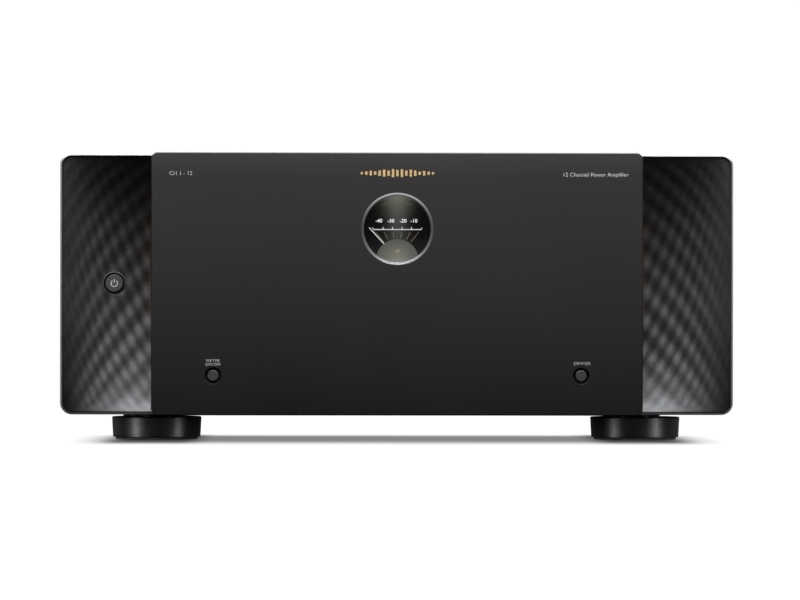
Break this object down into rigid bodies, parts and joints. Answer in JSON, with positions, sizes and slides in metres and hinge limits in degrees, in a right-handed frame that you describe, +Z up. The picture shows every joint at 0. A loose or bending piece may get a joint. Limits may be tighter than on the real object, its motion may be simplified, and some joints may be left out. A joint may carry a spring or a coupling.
{
  "type": "power amplifier",
  "caption": "Desktop audio power amplifier: flat black front plate with a round level meter between dished textured side panels, perforated cover, rear terminals, round feet.",
  "frame": {"origin": "on the floor at the centre of the footprint", "axes": "+Z up, front plate faces -Y, +X to the right seen from the front"},
  "size_m": [0.442, 0.46, 0.1895],
  "materials": {
    "satin_black_plate": "bead-blasted satin black anodised",
    "frame_black": "fine satin moulding",
    "wing_black": "satin, moulded waffle relief",
    "cover_black": "fine textured powder coat",
    "chassis_steel": "plated steel",
    "rear_black": "fine textured powder coat with printed legends",
    "foot_black": "gloss moulding",
    "pad_rubber": "matte",
    "bezel_silver": "polished",
    "lens_glass": "clear",
    "dial_black": "brushed black with printed scale",
    "hub_bronze": "satin olive grey",
    "needle_white": "matte white",
    "movement_black": "matte",
    "button_dark": "satin with printed icon",
    "ring_grey": "satin anodised",
    "board_green": "solder mask",
    "strip_white": "board with amber lamps",
    "screw_black": "black oxide",
    "xlr_black": "satin",
    "rca_gold": "gold plated",
    "post_gold": "gold plated",
    "inlet_black": "satin",
    "jack_steel": "nickel plated",
    "switch_steel": "plated",
    "slider_white": "satin",
    "sink_black": "extruded, anodised",
    "core_ferrite": "taped ferrite core",
    "can_sleeve": "shrink sleeve",
    "wire_black": "sleeved cable",
    "cap_red": "moulded red",
    "cap_black": "moulded black"
  },
  "bodies": {
    "chassis": {"fascia_plate": "satin_black_plate", "front_frame": "frame_black", "wing_panel_left": "wing_black", "wing_panel_right": "wing_black", "top_cover": "cover_black", "chassis_base": "chassis_steel", "rear_panel": "rear_black", "feet": "foot_black", "foot_pads": "pad_rubber", "meter_bezel": "bezel_silver", "meter_lens": "lens_glass", "meter_dial": "dial_black", "meter_hub_cover": "hub_bronze", "meter_movement": "movement_black", "power_button_bezel": "ring_grey", "front_control_board": "board_green", "light_strips": "strip_white", "screws": "screw_black", "xlr_sockets": "xlr_black", "rca_sockets": "rca_gold", "terminal_posts": "post_gold", "mains_inlet": "inlet_black", "control_jacks": "jack_steel", "selector_switch_body": "switch_steel", "amplifier_boards": "board_green", "heatsinks": "sink_black", "power_supply_board": "board_green", "supply_transformers": "core_ferrite", "reservoir_capacitors": "can_sleeve", "input_board": "board_green", "wiring_harness": "wire_black"},
    "power_button": {"power_button": "button_dark"},
    "meter_button": {"meter_button": "button_dark"},
    "dimmer_button": {"dimmer_button": "button_dark"},
    "meter_needle": {"meter_needle": "needle_white"},
    "selector_slider": {"selector_slider": "slider_white"},
    "terminal_cap_01_red": {"terminal_cap_01_red": "cap_red"},
    "terminal_cap_01_black": {"terminal_cap_01_black": "cap_black"},
    "terminal_cap_02_red": {"terminal_cap_02_red": "cap_red"},
    "terminal_cap_02_black": {"terminal_cap_02_black": "cap_black"},
    "terminal_cap_03_red": {"terminal_cap_03_red": "cap_red"},
    "terminal_cap_03_black": {"terminal_cap_03_black": "cap_black"},
    "terminal_cap_04_red": {"terminal_cap_04_red": "cap_red"},
    "terminal_cap_04_black": {"terminal_cap_04_black": "cap_black"},
    "terminal_cap_05_red": {"terminal_cap_05_red": "cap_red"},
    "terminal_cap_05_black": {"terminal_cap_05_black": "cap_black"},
    "terminal_cap_06_red": {"terminal_cap_06_red": "cap_red"},
    "terminal_cap_06_black": {"terminal_cap_06_black": "cap_black"},
    "terminal_cap_07_red": {"terminal_cap_07_red": "cap_red"},
    "terminal_cap_07_black": {"terminal_cap_07_black": "cap_black"},
    "terminal_cap_08_red": {"terminal_cap_08_red": "cap_red"},
    "terminal_cap_08_black": {"terminal_cap_08_black": "cap_black"},
    "terminal_cap_09_red": {"terminal_cap_09_red": "cap_red"},
    "terminal_cap_09_black": {"terminal_cap_09_black": "cap_black"},
    "terminal_cap_10_red": {"terminal_cap_10_red": "cap_red"},
    "terminal_cap_10_black": {"terminal_cap_10_black": "cap_black"},
    "terminal_cap_11_red": {"terminal_cap_11_red": "cap_red"},
    "terminal_cap_11_black": {"terminal_cap_11_black": "cap_black"},
    "terminal_cap_12_red": {"terminal_cap_12_red": "cap_red"},
    "terminal_cap_12_black": {"terminal_cap_12_black": "cap_black"}
  },
  "joints": [
    {"name": "power_button_press", "type": "slide", "parent": "chassis", "child": "power_button", "axis": [0, 1, 0], "range_m": [0, 0.002], "stiffness_N_per_m": 900, "springref_m": -0.001},
    {"name": "meter_button_press", "type": "slide", "parent": "chassis", "child": "meter_button", "axis": [0, 1, 0], "range_m": [0, 0.0015], "stiffness_N_per_m": 900, "springref_m": -0.001},
    {"name": "dimmer_button_press", "type": "slide", "parent": "chassis", "child": "dimmer_button", "axis": [0, 1, 0], "range_m": [0, 0.0015], "stiffness_N_per_m": 900, "springref_m": -0.001},
    {"name": "meter_needle_swing", "type": "hinge", "parent": "chassis", "child": "meter_needle", "pos_m": [0, -0.2245, 0.1199], "axis": [0, 1, 0], "range_deg": [0, 85]},
    {"name": "selector_slide", "type": "slide", "parent": "chassis", "child": "selector_slider", "axis": [1, 0, 0], "range_m": [0, 0.0044]},
    {"name": "terminal_cap_01_red_unscrew", "type": "slide", "parent": "chassis", "child": "terminal_cap_01_red", "axis": [0, 1, 0], "range_m": [0, 0.005]},
    {"name": "terminal_cap_01_black_unscrew", "type": "slide", "parent": "chassis", "child": "terminal_cap_01_black", "axis": [0, 1, 0], "range_m": [0, 0.005]},
    {"name": "terminal_cap_02_red_unscrew", "type": "slide", "parent": "chassis", "child": "terminal_cap_02_red", "axis": [0, 1, 0], "range_m": [0, 0.005]},
    {"name": "terminal_cap_02_black_unscrew", "type": "slide", "parent": "chassis", "child": "terminal_cap_02_black", "axis": [0, 1, 0], "range_m": [0, 0.005]},
    {"name": "terminal_cap_03_red_unscrew", "type": "slide", "parent": "chassis", "child": "terminal_cap_03_red", "axis": [0, 1, 0], "range_m": [0, 0.005]},
    {"name": "terminal_cap_03_black_unscrew", "type": "slide", "parent": "chassis", "child": "terminal_cap_03_black", "axis": [0, 1, 0], "range_m": [0, 0.005]},
    {"name": "terminal_cap_04_red_unscrew", "type": "slide", "parent": "chassis", "child": "terminal_cap_04_red", "axis": [0, 1, 0], "range_m": [0, 0.005]},
    {"name": "terminal_cap_04_black_unscrew", "type": "slide", "parent": "chassis", "child": "terminal_cap_04_black", "axis": [0, 1, 0], "range_m": [0, 0.005]},
    {"name": "terminal_cap_05_red_unscrew", "type": "slide", "parent": "chassis", "child": "terminal_cap_05_red", "axis": [0, 1, 0], "range_m": [0, 0.005]},
    {"name": "terminal_cap_05_black_unscrew", "type": "slide", "parent": "chassis", "child": "terminal_cap_05_black", "axis": [0, 1, 0], "range_m": [0, 0.005]},
    {"name": "terminal_cap_06_red_unscrew", "type": "slide", "parent": "chassis", "child": "terminal_cap_06_red", "axis": [0, 1, 0], "range_m": [0, 0.005]},
    {"name": "terminal_cap_06_black_unscrew", "type": "slide", "parent": "chassis", "child": "terminal_cap_06_black", "axis": [0, 1, 0], "range_m": [0, 0.005]},
    {"name": "terminal_cap_07_red_unscrew", "type": "slide", "parent": "chassis", "child": "terminal_cap_07_red", "axis": [0, 1, 0], "range_m": [0, 0.005]},
    {"name": "terminal_cap_07_black_unscrew", "type": "slide", "parent": "chassis", "child": "terminal_cap_07_black", "axis": [0, 1, 0], "range_m": [0, 0.005]},
    {"name": "terminal_cap_08_red_unscrew", "type": "slide", "parent": "chassis", "child": "terminal_cap_08_red", "axis": [0, 1, 0], "range_m": [0, 0.005]},
    {"name": "terminal_cap_08_black_unscrew", "type": "slide", "parent": "chassis", "child": "terminal_cap_08_black", "axis": [0, 1, 0], "range_m": [0, 0.005]},
    {"name": "terminal_cap_09_red_unscrew", "type": "slide", "parent": "chassis", "child": "terminal_cap_09_red", "axis": [0, 1, 0], "range_m": [0, 0.005]},
    {"name": "terminal_cap_09_black_unscrew", "type": "slide", "parent": "chassis", "child": "terminal_cap_09_black", "axis": [0, 1, 0], "range_m": [0, 0.005]},
    {"name": "terminal_cap_10_red_unscrew", "type": "slide", "parent": "chassis", "child": "terminal_cap_10_red", "axis": [0, 1, 0], "range_m": [0, 0.005]},
    {"name": "terminal_cap_10_black_unscrew", "type": "slide", "parent": "chassis", "child": "terminal_cap_10_black", "axis": [0, 1, 0], "range_m": [0, 0.005]},
    {"name": "terminal_cap_11_red_unscrew", "type": "slide", "parent": "chassis", "child": "terminal_cap_11_red", "axis": [0, 1, 0], "range_m": [0, 0.005]},
    {"name": "terminal_cap_11_black_unscrew", "type": "slide", "parent": "chassis", "child": "terminal_cap_11_black", "axis": [0, 1, 0], "range_m": [0, 0.005]},
    {"name": "terminal_cap_12_red_unscrew", "type": "slide", "parent": "chassis", "child": "terminal_cap_12_red", "axis": [0, 1, 0], "range_m": [0, 0.005]},
    {"name": "terminal_cap_12_black_unscrew", "type": "slide", "parent": "chassis", "child": "terminal_cap_12_black", "axis": [0, 1, 0], "range_m": [0, 0.005]}
  ]
}
